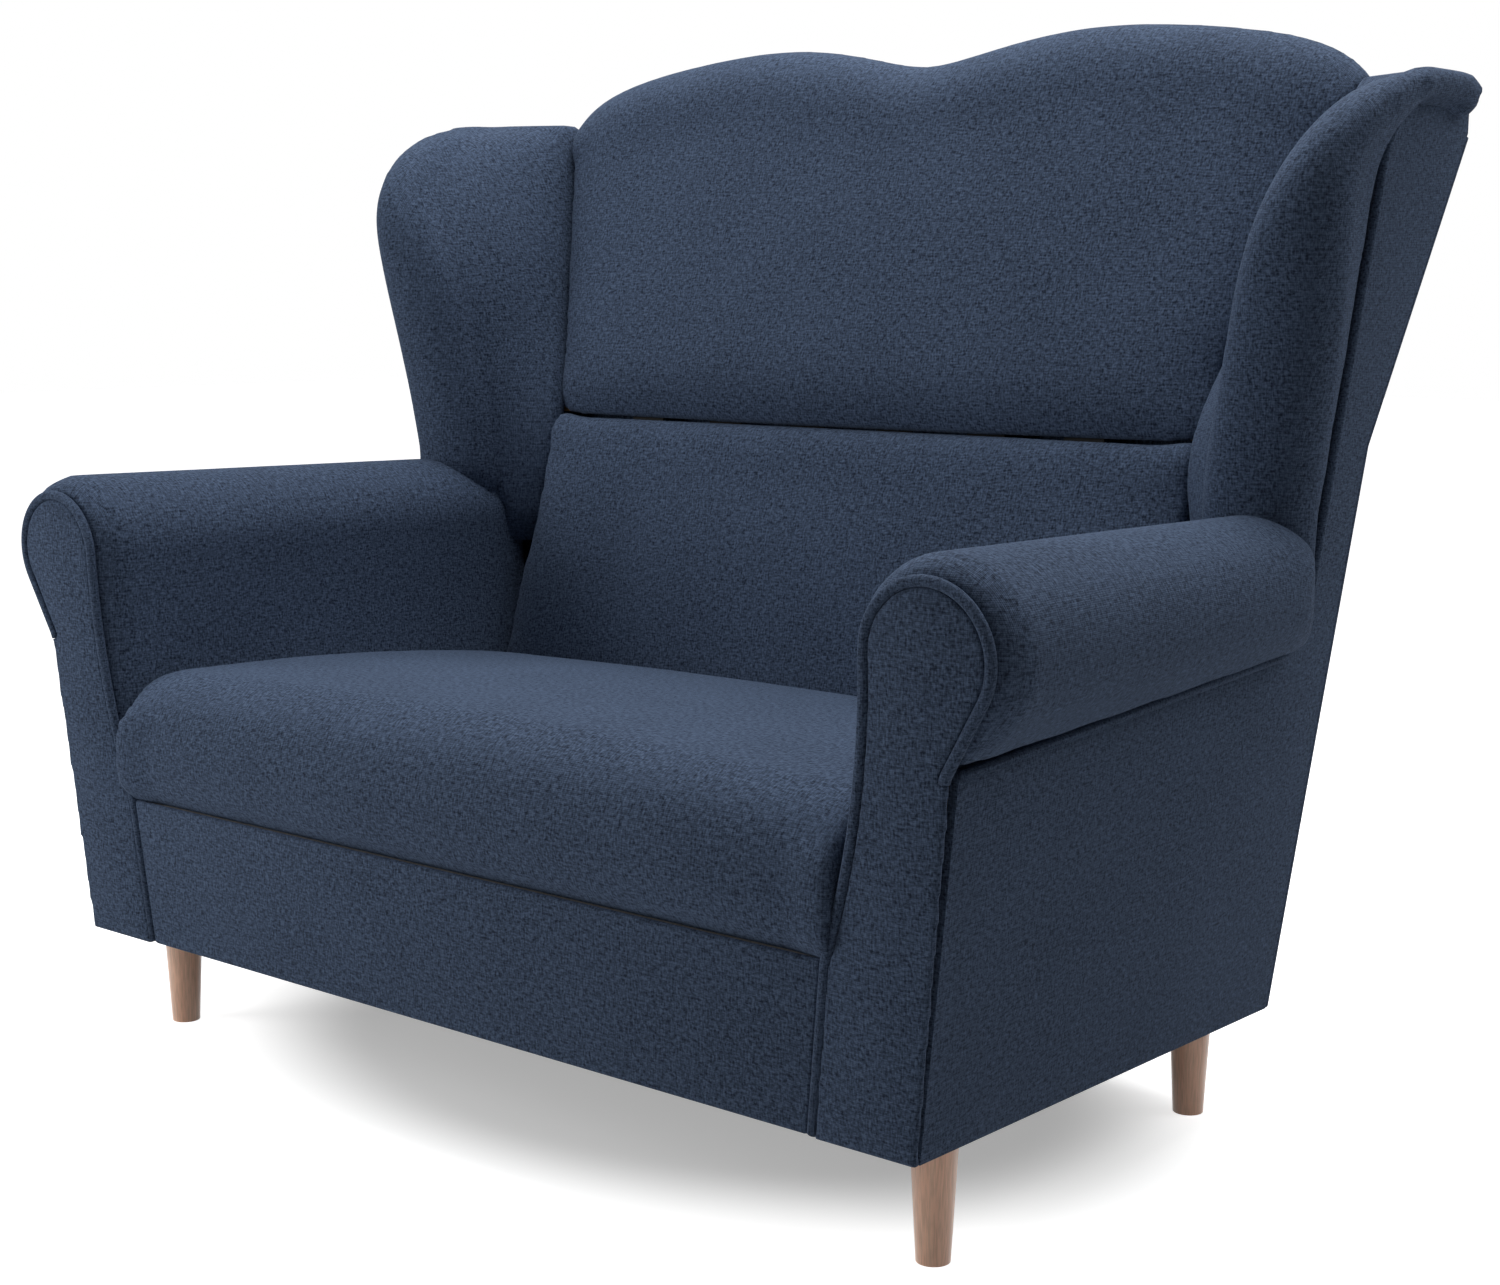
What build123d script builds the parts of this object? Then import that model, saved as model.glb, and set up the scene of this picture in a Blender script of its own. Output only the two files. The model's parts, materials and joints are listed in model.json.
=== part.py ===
from build123d import *
from math import asin, atan2, cos, hypot, pi, sin, sqrt
import os

os.makedirs("parts", exist_ok=True)

# Two-seater wing-back sofa. X runs across, Y to the rear, Z up. Sizes are in millimetres.
# Slopes are millimetres sideways for each millimetre of height or depth.

# Base and legs
leg_height = 120
leg_top_diameter = 44
leg_foot_diameter = 31
front_leg_setback = 90
front_leg_offset = 6
rear_leg_setback = 70
rear_leg_offset = -7
foot_felt_diameter = 20
foot_felt_thickness = 2.5
base_width = 1152
base_depth = 637
side_flare = 0.114
side_taper = 0.025
front_lean = 0.041

# Arms
foot_opening_width = 924
seat_width = 962
seat_seam_height = 281
arm_roll_radius = 66
arm_roll_height = 614
arm_roll_spacing = 1186
arm_neck_height = 452
arm_neck_radius = 14
arm_length = 625
arm_swell = 16
arm_swell_run = 28
arm_rear_swell = 6
arm_swell_start_share = 0.6
roll_end_run = 80
roll_end_overlap = 2
arm_padding_thickness = 22
arm_panel_thickness = 4
roll_rail_depth = 58
facing_thickness = 8
facing_edge_radius = 3.5
arm_board_thickness = 18

# Back
knee_height = 680
lower_back_rake = 0.083
upper_back_rake = 0.435
valley_height = 1092
valley_radius = 250
hump_height = 1122
hump_offset = 252
shoulder_height = 1062
shoulder_offset = 552
back_seam_height = 676
back_seam_width = 902
back_side_flare = 0.3
lumbar_side_flare = -0.13
upper_pad_thickness = 86
upper_pad_foot_thickness = 61
upper_pad_crown = 16
lumbar_crown = 14
lumbar_floor_height = 286
lumbar_reach = 107
pad_end_draw = 10

# Shares of a pad's thickness, or of the lumbar pad's height, that shape its round edges
upper_lip_share = 0.55
upper_tuck_share = 0.62
upper_swell_share = 0.25
upper_brow_share = 0.75
upper_crest_share = 0.55
upper_nape_share = 0.5
lumbar_foot_share = 0.9
lumbar_toe_share = 0.97
lumbar_belly_share = 0.3
lumbar_waist_share = 0.9
lumbar_brow_share = 0.67
lumbar_crest_share = 0.45
lumbar_roll_share = 0.42

# Seat
seat_front_bulge = 20
seat_side_flare = 0.185
seat_edge_height = 414
seat_rear_drop = 30
seat_back_gap = 3.3
seat_end_draw = 2
seat_side_gap = 2.6
seat_crown = 14
seat_corner_draw_share = 0.5
seat_nose_share = 0.45
seat_brow_share = 0.42
seat_chin_share = 0.22
seat_chin_bulge = 2
seat_rear_round_share = 0.25
seat_rear_foot_share = 0.5

# Wings: height, inner face at the nose, front of the nose, bulge past the panel, the same at the
# welt, rear set forward
wing_levels = (
    (545, 508, 524, 2, 2, 0),
    (600, 507, 521, 4, 3, 0),
    (650, 510, 518, 6, 3, 0),
    (710, 520, 513, 8, 3, 0),
    (780, 536, 506, 12, 3, 0),
    (870, 560, 495, 14, 3, 0),
    (945, 594, 501, 11, 5, 0),
    (998, 618, 545, 12, 9, 12),
    (1026, 634, 598, 17, 15, 30),
    (1046, 650, 668, 8, 7, 60),
)
wing_nose_depth = 52
wing_board_thickness = 15
wing_board_setback = 42
wing_board_floor_height = 500
wing_board_top_gap = 72

# Outside panels: the welt line along their upper edge
panel_thickness = 8
panel_arm_rear = 583
panel_step_height = 493
panel_wing_lean = 0.06
panel_top_height = 1020
panel_step_radius = 45
panel_corner_radius = 80
panel_top_draw = 24
panel_rear_floor = 104
welt_front_rise = 8
welt_diameter = 8

# Frame timber, springs and fixings
rail_thickness = 28
front_rail_thickness = 25
side_rail_thickness = 18
side_rail_depth = 90
seat_rail_thickness = 18
spring_deck_height = 267
rear_rail_depth = 90
spring_rail_depth = 50
middle_rail_depth = 70
top_rail_floor_height = 930
top_rail_cover = 26
brace_width = 25
brace_depth = 80
post_width = 45
post_thickness = 30
post_top_height = 985
corner_block_length = 130
corner_block_thickness = 28
bolt_diameter = 8
bolt_length = 58
bolt_in_leg = 34
nut_barrel_diameter = 11
nut_barrel_length = 12
nut_flange_diameter = 22
nut_flange_thickness = 1.5
spring_count = 7
spring_spacing = 126
spring_wire = 4
spring_pitch = 44
spring_width = 56
spring_clip_length = 18
spring_clip_width = 14
spring_clip_wall = 2
felt_thickness = 4.3
strap_width = 50
strap_thickness = 2.5

# Covers, boards and clearances
cover_thickness = 4
back_board_thickness = 6
apron_thickness = 7
dust_cover_thickness = 1
clearance = 0.3
pad_gap = 3
reach = 900

base_half = base_width / 2
foot_half = foot_opening_width / 2
seat_half = seat_width / 2
roll_x = arm_roll_spacing / 2
roll_z = arm_roll_height - arm_roll_radius
inner_slope = (seat_half - foot_half) / (seat_seam_height - leg_height)
timber_floor = leg_height + dust_cover_thickness + clearance / 2
arm_direction = Vector(-side_taper, 1, 0)
frame_depth = back_board_thickness + clearance + rail_thickness
strap_depth = frame_depth + clearance
pad_depth = strap_depth + strap_thickness + clearance

pieces = {}


# Reference faces: outside panel, arm front and rear of the back

def side_x(y, z):
    return base_half + side_flare * (z - leg_height) - side_taper * y


def rear_y(z):
    knee_y = base_depth + lower_back_rake * (knee_height - leg_height)
    if z > knee_height:
        return knee_y + upper_back_rake * (z - knee_height)
    return knee_y + lower_back_rake * (z - knee_height)


def fan_plane(share, half_width, height, flare, taper):
    """A plane near a sofa side, looking outwards, with local X to the rear and local Y up."""
    return Plane(
        origin=(share * half_width, 0, height),
        x_dir=(-share * taper, 1, 0),
        z_dir=(1, share * taper, -share * flare),
    )


side_plane = fan_plane(1, base_half, leg_height, side_flare, side_taper)
front_plane = Plane(
    origin=(0, facing_thickness, leg_height), x_dir=(1, 0, 0), z_dir=(0, -1, -front_lean)
)


def on_side(y, z):
    local = side_plane.to_local_coords(Vector(side_x(y, z), y, z))
    return (local.X, local.Y)


def polygon(points):
    return make_face(Polyline(*points, close=True))


def along_arm(face, start, length, direction=arm_direction):
    """A prism that runs to the rear from the leaning arm front, behind the facings."""
    placed = Pos(*(direction * start)) * (front_plane * face)
    return extrude(placed, amount=length, dir=direction)


def rear_band(near, far, floor, top):
    """A strip in the YZ plane between two depths in front of the rear face, bent at the knee."""
    heights = [floor, top]
    if floor < knee_height < top:
        heights = [floor, knee_height, top]
    outer = [(rear_y(z) - near, z) for z in heights]
    inner = [(rear_y(z) - far, z) for z in reversed(heights)]
    return outer + inner


def across(points, x_from, x_to):
    face = Plane.YZ * polygon(points)
    return extrude(Pos(x_from, 0, 0) * face, amount=x_to - x_from, dir=(1, 0, 0))


def both_sides(name, right):
    pieces[name + "_right"] = right
    pieces[name + "_left"] = mirror(right, about=Plane.YZ)


def group(solids):
    return Compound([shape.solid() for shape in solids])


# Arm outline on the arm front: sloped inner side, round roll, neck, flared outer side

def inner_x(height):
    return foot_half + inner_slope * height


def arm_outline(drop=0, swell=0):
    roll_radius = arm_roll_radius + swell
    seam = (seat_half, seat_seam_height - leg_height)
    centre = (roll_x, roll_z - leg_height)
    start = (roll_x - roll_radius, centre[1])
    sweep_x = start[0] - seam[0]
    sweep_z = start[1] - seam[1]
    radius = (sweep_x**2 + sweep_z**2) / (2 * sweep_x)
    half_way = (start[0] - radius + sqrt(radius**2 - (sweep_z / 2) ** 2), (seam[1] + start[1]) / 2)
    neck_v = arm_neck_height - leg_height
    neck = (side_x(0, arm_neck_height), neck_v)
    to_centre = (centre[0] - neck[0], centre[1] - neck[1])
    distance = hypot(*to_centre)
    heading = atan2(to_centre[1], to_centre[0]) - asin(roll_radius / distance)
    run = sqrt(distance**2 - roll_radius**2)
    leave = (neck[0] + run * cos(heading), neck[1] + run * sin(heading))
    leave_angle = atan2(leave[1] - centre[1], leave[0] - centre[0])

    def on_roll(angle):
        return (centre[0] + roll_radius * cos(angle), centre[1] + roll_radius * sin(angle))

    top = on_roll(pi / 2)
    foot_out = (base_half - side_flare * drop, -drop)
    foot_in = (inner_x(-drop), -drop)
    edges = [
        Line(foot_in, seam),
        ThreePointArc(seam, half_way, start),
        ThreePointArc(start, on_roll(0.75 * pi), top),
        ThreePointArc(top, on_roll((pi / 2 + leave_angle) / 2), leave),
        Line(leave, neck),
        Line(neck, foot_out),
        Line(foot_out, foot_in),
    ]
    face = make_face(edges)
    corner = face.vertices().sort_by_distance((neck[0], neck[1], 0))[0]
    return fillet(corner, arm_neck_radius)


def below(height):
    return Pos(0, height - reach) * Rectangle(4 * reach, 2 * reach)


def above(height):
    return Pos(0, height + reach) * Rectangle(4 * reach, 2 * reach)


deck_v = spring_deck_height + pad_gap - leg_height
roll_v = roll_z - leg_height
neck_v = arm_neck_height - leg_height
rail_floor_v = arm_roll_height - cover_thickness - arm_padding_thickness - roll_rail_depth - leg_height
deep_outline = arm_outline(drop=3 * arm_padding_thickness)
core_inset = cover_thickness + arm_padding_thickness + 2 * clearance
neck_inner = seat_half + arm_padding_thickness
foot_middle = (foot_half + base_half) / 2
neck_middle = (neck_inner + side_x(0, arm_neck_height)) / 2
middle_line = [
    (2 * reach, -reach),
    (foot_middle, -reach),
    (foot_middle, 0),
    (neck_middle, neck_v),
]
outer_hollow = polygon(middle_line + [(2 * reach, neck_v)])
core_face = offset(deep_outline, -core_inset)
outer_half = polygon(middle_line + [(roll_x, roll_v), (roll_x, reach), (2 * reach, reach)])


roll_end_y = panel_arm_rear + roll_end_overlap
roll_end_start = roll_end_y - roll_end_run
roll_end_out = roll_x + arm_roll_radius + arm_rear_swell - side_taper * roll_end_start
roll_end_in = side_x(roll_end_y, roll_z) - panel_thickness / 2
roll_end_depth = roll_end_out - roll_end_in
roll_end_radius = (roll_end_depth**2 + roll_end_run**2) / (2 * roll_end_depth)


def roll_end(inset):
    """What is taken off to round the rear end of the roll in towards the outside panel."""
    radius = roll_end_radius - inset
    centre_x = roll_end_out - roll_end_radius
    turn = asin(roll_end_run / roll_end_radius)

    def on_arc(angle):
        return (centre_x + radius * cos(angle), roll_end_start + radius * sin(angle))

    stop = on_arc(turn)
    face = make_face([
        ThreePointArc(on_arc(0), on_arc(turn / 2), stop),
        Line(stop, (stop[0], 2 * reach)),
        Line((stop[0], 2 * reach), (2 * reach, 2 * reach)),
        Line((2 * reach, 2 * reach), (2 * reach, roll_end_start)),
        Line((2 * reach, roll_end_start), on_arc(0)),
    ])
    return extrude(face, amount=2 * reach)


def arm_form(inset, length):
    """The padded arm: it swells behind the facing, runs to the rear and rounds in at its end."""
    stations = [
        (0, 0),
        (arm_swell_run / 3, arm_swell_start_share * arm_swell),
        (arm_swell_run, arm_swell),
        (length, arm_swell + (arm_rear_swell - arm_swell) * length / arm_length),
    ]
    sections = []
    for start, swell in stations:
        face = offset(arm_outline(3 * arm_padding_thickness, swell), -inset)
        sections.append(Pos(*(arm_direction * start)) * (front_plane * face))
    return loft(sections, ruled=True) - roll_end(inset)


# Outside panel over arm and wing, and the welt that follows its upper edge

def wing_welt_y(z):
    return panel_arm_rear + panel_wing_lean * (z - panel_step_height)


panel_rear_drop = back_board_thickness + 2 * clearance
panel_top_rear = rear_y(panel_top_height) - panel_top_draw
welt_points = [
    on_side(facing_thickness - front_lean * neck_v + welt_diameter, arm_neck_height + welt_front_rise),
    on_side(panel_arm_rear, panel_step_height),
    on_side(wing_welt_y(panel_top_height), panel_top_height),
    on_side(panel_top_rear - welt_diameter, panel_top_height),
]
welt_line = FilletPolyline(*welt_points, radius=[panel_step_radius, panel_corner_radius])
panel_back = [
    on_side(panel_top_rear, panel_top_height),
    on_side(rear_y(post_top_height), post_top_height),
    on_side(rear_y(knee_height), knee_height),
    on_side(rear_y(panel_rear_floor), panel_rear_floor),
]
panel_front = on_side(facing_thickness, leg_height)
panel_rest = Polyline(welt_line @ 1, *panel_back, panel_front, welt_line @ 0)
panel_outline = make_face(welt_line.edges() + panel_rest.edges())
welt_room = welt_diameter / 2 + clearance
panel_room = side_plane * offset(panel_outline, welt_room)
panel_pocket = extrude(panel_room, amount=reach / 4) + extrude(panel_room, amount=-panel_thickness - clearance)
back_zone = across(rear_band(-reach, panel_rear_drop, 0, 2 * reach), -reach, reach)
panel = extrude(side_plane * offset(panel_outline, -welt_room), amount=-panel_thickness)
lower_strip = polygon([
    on_side(facing_thickness + welt_room, leg_height),
    on_side(base_depth, panel_rear_floor),
    on_side(base_depth, panel_rear_floor + 2 * welt_diameter),
    on_side(facing_thickness + welt_room, leg_height + 2 * welt_diameter),
])
panel += extrude(side_plane * lower_strip, amount=-panel_thickness)
both_sides("outside_panel", panel - back_zone)

welt_path = side_plane * welt_line
welt_section = Plane(origin=welt_path @ 0, z_dir=welt_path % 0) * Circle(welt_diameter / 2)
both_sides("outside_welt", sweep(welt_section, path=welt_path))

# Back posts and wing boards lie flat against the outside panels

board_depth = panel_thickness + clearance


def side_board(points, near, thickness):
    face = side_plane.offset(-near) * polygon([on_side(y, z) for y, z in points])
    return extrude(face, amount=-thickness)


post_near = back_board_thickness + clearance
post_band = rear_band(post_near, post_near + post_width, timber_floor, post_top_height)
back_post = side_board(post_band, board_depth, post_thickness)
both_sides("back_post", back_post)

wing_nose_front = max(level[2] for level in wing_levels[:5])
wing_board_front = wing_nose_front + wing_board_setback
wing_board_top = wing_levels[-1][0] - wing_board_top_gap
board_rear = post_near + post_width + clearance


def wing_board_points(grow):
    """The board from its front edge to the post, grown all round for the room that it takes."""
    front = wing_board_front - grow
    floor = wing_board_floor_height - grow
    top = wing_board_top + grow
    return [
        (front, floor),
        (front, top - panel_corner_radius),
        (front + panel_corner_radius, top),
        (rear_y(top) - board_rear + grow, top),
        (rear_y(knee_height) - board_rear + grow, knee_height),
        (rear_y(floor) - board_rear + grow, floor),
    ]


both_sides("wing_board", side_board(wing_board_points(0), board_depth, wing_board_thickness))
wing_board_room = side_board(
    wing_board_points(clearance), board_depth - clearance, wing_board_thickness + 2 * clearance
)
post_room = side_board(
    rear_band(0, post_near + post_width + clearance, 0, post_top_height + clearance),
    0,
    board_depth + post_thickness + clearance,
)
side_rooms = panel_pocket + wing_board_room + post_room

# Arms: front board, roll rail and inner panel carry the padding and its cover

arm_board = core_face - below(timber_floor - leg_height)
both_sides("arm_front_board", along_arm(arm_board, 0, arm_board_thickness))

behind_board = arm_board_thickness + clearance
frame_length = arm_length - behind_board
roll_rail = along_arm(core_face - below(rail_floor_v), behind_board, frame_length)
both_sides("arm_roll_rail", roll_rail - side_rooms - roll_end(core_inset))

inner_wall = core_face - offset(core_face, -arm_panel_thickness)
inner_wall = inner_wall - below(deck_v) - above(rail_floor_v - clearance) - outer_half
both_sides("arm_inner_panel", along_arm(inner_wall, behind_board, frame_length))

arm_hollow = along_arm(below(deck_v) + outer_hollow, -clearance, 2 * arm_length)
arm_core = along_arm(offset(deep_outline, clearance - core_inset), -clearance, 2 * arm_length)
arm_core = arm_core - roll_end(core_inset - clearance)
arm_rooms = side_rooms + arm_hollow
arm_padding = arm_form(cover_thickness + clearance, arm_length) - arm_core - arm_rooms
both_sides("arm_padding", arm_padding)
arm_cover = arm_form(0, arm_length) - arm_form(cover_thickness, arm_length) - arm_rooms
both_sides("arm_cover", arm_cover)

# Arm facings, each with a welt that runs from the inner foot over the roll to the neck

welt_band = welt_diameter + clearance
facing_line = offset(arm_outline(), -welt_diameter / 2).edges().sort_by(Axis.Y)[1:]
flank = facing_line.filter_by_position(Axis.X, foot_middle, reach).sort_by(Axis.Y)[0]
welt_foot = flank.bounding_box().max.Y - 2 * clearance


def facing_inner_x(height):
    return inner_x(height) + welt_band * sqrt(1 + inner_slope**2)


plain_zone = polygon([
    (facing_inner_x(-reach), -reach),
    (facing_inner_x(2 * welt_band), 2 * welt_band),
    (foot_middle, 2 * welt_band),
    (neck_middle, welt_foot),
    (2 * reach, welt_foot),
    (2 * reach, -reach),
])
welt_ring = arm_outline() - offset(arm_outline(), -welt_band)
facing_face = arm_outline() - (welt_ring - plain_zone)
facing = extrude(front_plane * facing_face, amount=facing_thickness)
front_rim = facing.faces().sort_by(Axis.Y)[0].edges()
both_sides("arm_facing", fillet(front_rim, facing_edge_radius))

welt_edges = [edge for edge in facing_line if edge is not flank]
welt_wire = Wire(front_plane.offset(welt_diameter / 2 + clearance) * Curve(welt_edges))
facing_section = Plane(origin=welt_wire @ 0, z_dir=welt_wire % 0) * Circle(welt_diameter / 2)
both_sides("facing_welt", sweep(facing_section, path=welt_wire))

# Wings: horizontal sections with a round nose, drawn back and outwards at the top

def crease_x(z):
    rise = z - back_seam_height
    return back_seam_width / 2 + (back_side_flare if rise > 0 else lumbar_side_flare) * rise


def pad_edge(z):
    """Thickness of the back's padding along its sides, which grows from the seam to the shoulders."""
    share = max(0, (z - back_seam_height) / (shoulder_height - back_seam_height))
    return upper_pad_foot_thickness + (upper_pad_thickness - upper_pad_foot_thickness) * share


def wing_section(level, inset):
    z, inner, front, bulge, welt_bulge, rear_draw = level
    z_cut = z - inset if level is wing_levels[-1] else z
    rear = rear_y(z) - panel_rear_drop - rear_draw - inset
    crease = rear_y(z) - pad_edge(z)
    outer = side_x(front, z) + bulge - inset
    inner = inner + inset
    front = front + inset
    nose = wing_nose_depth
    middle = (inner + outer) / 2
    reach_in = (outer - inner) / 2
    shoulder = sin(pi / 4)
    turn = max(wing_welt_y(z), front + nose + welt_diameter)
    outer_rear = side_x(rear, z) + welt_bulge - inset
    edges = [
        Line((crease_x(z) + inset, rear), (crease_x(z) + inset, crease)),
        Line((crease_x(z) + inset, crease), (inner, front + nose)),
        ThreePointArc(
            (inner, front + nose),
            (middle - reach_in * shoulder, front + nose * (1 - shoulder)),
            (middle, front),
        ),
        ThreePointArc(
            (middle, front),
            (middle + reach_in * shoulder, front + nose * (1 - shoulder)),
            (outer, front + nose),
        ),
        Line((outer, front + nose), (side_x(turn, z) + welt_bulge - inset, turn)),
        Line((side_x(turn, z) + welt_bulge - inset, turn), (outer_rear, rear)),
        Line((outer_rear, rear), (crease_x(z) + inset, rear)),
    ]
    return Pos(0, 0, z_cut) * make_face(edges)


def wing_form(inset):
    return loft([wing_section(level, inset) for level in wing_levels])


arm_room = arm_form(-clearance, 2 * arm_length)
frame_room = across(rear_band(-reach, pad_depth, 0, post_top_height + clearance), 0, reach)
wing_outer = wing_form(0)
wing_inner = wing_form(cover_thickness)
wing_rooms = side_rooms + frame_room
wing_cover = wing_outer - wing_inner - wing_rooms - arm_room
both_sides("wing_cover", wing_cover)
wing_padding = wing_form(cover_thickness + 2 * clearance) - wing_rooms - arm_room
both_sides("wing_padding", wing_padding - wing_cover)

# Camel top of the back: a hollow between two humps, then down to the shoulders

hump_rise = hump_height - valley_height
hump_radius = (hump_offset**2 + hump_rise**2) / (2 * hump_rise) - valley_radius
turn_offset = hump_offset * valley_radius / (valley_radius + hump_radius)
shoulder_run = shoulder_offset - hump_offset
shoulder_drop = hump_height - shoulder_height
shoulder_radius = (shoulder_run**2 + shoulder_drop**2) / (2 * shoulder_drop)


def camel_height(x):
    x = abs(x)
    if x < turn_offset:
        return valley_height + valley_radius - sqrt(valley_radius**2 - x**2)
    radius = hump_radius if x < hump_offset else shoulder_radius
    return hump_height - radius + sqrt(radius**2 - (x - hump_offset) ** 2)


def camel_face(half_width, floor, drop):
    """The back seen from the front, with its top edge lowered by a drop."""
    stations = [0, turn_offset, hump_offset, half_width]
    edges = []
    for start, end in zip(stations, stations[1:]):
        for side in (-1, 1):
            points = [(side * x, camel_height(x) - drop) for x in (start, (start + end) / 2, end)]
            edges.append(ThreePointArc(*points))
    foot = [(-half_width, floor), (half_width, floor)]
    top = camel_height(half_width) - drop
    edges += [
        Line((-half_width, top), foot[0]),
        Line(foot[0], foot[1]),
        Line(foot[1], (half_width, top)),
    ]
    return make_face(edges)


def camel_block(half_width, floor, drop):
    return extrude(Plane.XZ * camel_face(half_width, floor, drop), amount=reach, both=True)


# Upper back and lumbar pads, lofted across the sofa

pad_shares = (-1, -0.93, -0.72, -0.45, -0.2, 0, 0.2, 0.45, 0.72, 0.93, 1)


def across_loft(outline, half_width, height, flare, taper, inset):
    sections = []
    for share in pad_shares:
        plane = fan_plane(share, half_width - inset, height, flare, taper)
        stretch = sqrt(1 + (share * flare) ** 2)
        edges = outline(share, inset)
        face = make_face([edge(height, stretch) for edge in edges])
        sections.append(plane * face)
    return loft(sections)


def line_edge(start, end):
    def place(height, stretch):
        return Line(*[(y, (z - height) * stretch) for y, z in (start, end)])

    return place


def arc_edge(start, middle, end):
    def place(height, stretch):
        return ThreePointArc(*[(y, (z - height) * stretch) for y, z in (start, middle, end)])

    return place


def end_inset(share, inset):
    return inset + (pad_end_draw if abs(share) == 1 else 0)


def upper_outline(share, inset):
    drawn = end_inset(share, inset)

    def thick(z):
        return pad_edge(z) + upper_pad_crown * (1 - share**2) - drawn

    half = back_seam_width / 2 + back_side_flare * (shoulder_height - back_seam_height)
    top = camel_height(share * half) - drawn
    floor = back_seam_height + pad_gap / 2 + inset
    rear = panel_rear_drop
    low = floor + upper_lip_share * thick(floor)
    high = top - upper_brow_share * thick(top)
    middle = (low + high) / 2
    corner = sin(pi / 4)
    foot = (rear_y(floor) - upper_tuck_share * thick(floor), floor)
    bulge = (rear_y(low) - thick(low), low)
    swell = (rear_y(middle) - thick(middle) - upper_swell_share * upper_pad_crown, middle)
    brow = (rear_y(high) - thick(high), high)
    crest = (rear_y(top) - upper_crest_share * thick(top), top)
    nape_z = top - upper_nape_share * thick(top)
    nape = (rear_y(nape_z) - rear, nape_z)
    heel = (rear_y(floor) - rear, floor)
    lip = (foot[0] - (foot[0] - bulge[0]) * corner, low - (low - floor) * corner)
    roll = (crest[0] - (crest[0] - brow[0]) * corner, high + (top - high) * corner)
    back_roll = (crest[0] + (nape[0] - crest[0]) * corner, nape_z + (top - nape_z) * corner)
    return [
        line_edge(heel, foot),
        arc_edge(foot, lip, bulge),
        arc_edge(bulge, swell, brow),
        arc_edge(brow, roll, crest),
        arc_edge(crest, back_roll, nape),
        line_edge(nape, heel),
    ]


def lumbar_outline(share, inset):
    drawn = end_inset(share, inset)
    thick = lumbar_reach + lumbar_crown * (1 - share**2) - drawn
    floor = lumbar_floor_height + inset
    top = back_seam_height - pad_gap / 2 - inset
    rear = pad_depth + clearance
    height = top - floor
    low = floor + lumbar_belly_share * height
    high = top - lumbar_roll_share * thick
    corner = sin(pi / 4)
    foot = (rear_y(floor) - lumbar_foot_share * thick, floor)
    belly = (rear_y(low) - thick, low)
    toe = (rear_y(floor) - lumbar_toe_share * thick, (floor + low) / 2)
    brow = (rear_y(high) - lumbar_brow_share * thick, high)
    waist_z = (low + high) / 2
    waist = (rear_y(waist_z) - lumbar_waist_share * thick, waist_z)
    crest = (rear_y(top) - lumbar_crest_share * thick, top)
    roll = (crest[0] - (crest[0] - brow[0]) * corner, high + (top - high) * corner)
    heel = (rear_y(floor) - rear, floor)
    nape = (rear_y(top) - rear, top)
    return [
        line_edge(heel, foot),
        arc_edge(foot, toe, belly),
        arc_edge(belly, waist, brow),
        arc_edge(brow, roll, crest),
        line_edge(crest, nape),
        line_edge(nape, heel),
    ]


def upper_form(inset):
    half = back_seam_width / 2 - pad_gap
    return across_loft(upper_outline, half, back_seam_height, back_side_flare, 0, inset)


def lumbar_form(inset):
    half = back_seam_width / 2 - pad_gap
    return across_loft(lumbar_outline, half, back_seam_height, lumbar_side_flare, 0, inset)


rail_room = camel_block(shoulder_offset + pad_gap, 0, top_rail_cover)
back_frame_room = across(rear_band(-reach, pad_depth, 0, 2 * reach), -reach, reach) & rail_room
pieces["back_upper_cover"] = upper_form(0) - upper_form(cover_thickness) - back_frame_room
pieces["back_upper_padding"] = upper_form(cover_thickness + clearance) - back_frame_room
arm_sides = arm_room + mirror(arm_room, about=Plane.YZ)
pieces["lumbar_cover"] = lumbar_form(0) - lumbar_form(cover_thickness) - arm_sides
pieces["lumbar_padding"] = lumbar_form(cover_thickness + clearance) - arm_sides

# Seat: crowned on top, round at the front and tucked in at the seam

def seat_outline(share, inset):
    drawn = inset + (seat_end_draw if abs(share) == 1 else 0)
    top = seat_edge_height + seat_crown * (1 - share**2) - drawn
    floor = seat_seam_height
    height = top - floor
    front = inset - seat_front_bulge * (1 - seat_corner_draw_share * share**4)
    tuck = inset + facing_thickness - apron_thickness - front_lean * (floor - leg_height)
    lumbar_thick = lumbar_reach + lumbar_crown * (1 - share**2)
    rear = rear_y(lumbar_floor_height) - lumbar_toe_share * lumbar_thick - seat_back_gap - inset
    nose_z = floor + seat_nose_share * height
    brow_y = front + seat_brow_share * height
    corner = sin(pi / 4)
    foot = (tuck, floor)
    nose = (front, nose_z)
    chin = ((foot[0] + front) / 2 - seat_chin_bulge, floor + seat_chin_share * height)
    brow = (brow_y, top)
    round_front = (brow_y - (brow_y - front) * corner, nose_z + (top - nose_z) * corner)
    back_z = top - seat_rear_drop
    back_top = (rear - seat_rear_round_share * height, back_z)
    saddle = ((brow_y + rear) / 2, top - seat_rear_round_share * seat_rear_drop)
    back_foot = (rear, floor + seat_rear_foot_share * height)
    round_back = (back_top[0] + (rear - back_top[0]) * corner, back_z - (back_z - back_foot[1]) * (1 - corner))
    return [
        line_edge((rear, floor), foot),
        arc_edge(foot, chin, nose),
        arc_edge(nose, round_front, brow),
        arc_edge(brow, saddle, back_top),
        arc_edge(back_top, round_back, back_foot),
        line_edge(back_foot, (rear, floor)),
    ]


def seat_form(inset):
    half = seat_half - seat_side_gap
    return across_loft(seat_outline, half, seat_seam_height, seat_side_flare, side_taper, inset)


pieces["seat_cover"] = seat_form(0) - seat_form(cover_thickness)
pieces["seat_foam"] = seat_form(cover_thickness + clearance)

# Front apron and front rail between the arms

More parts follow.
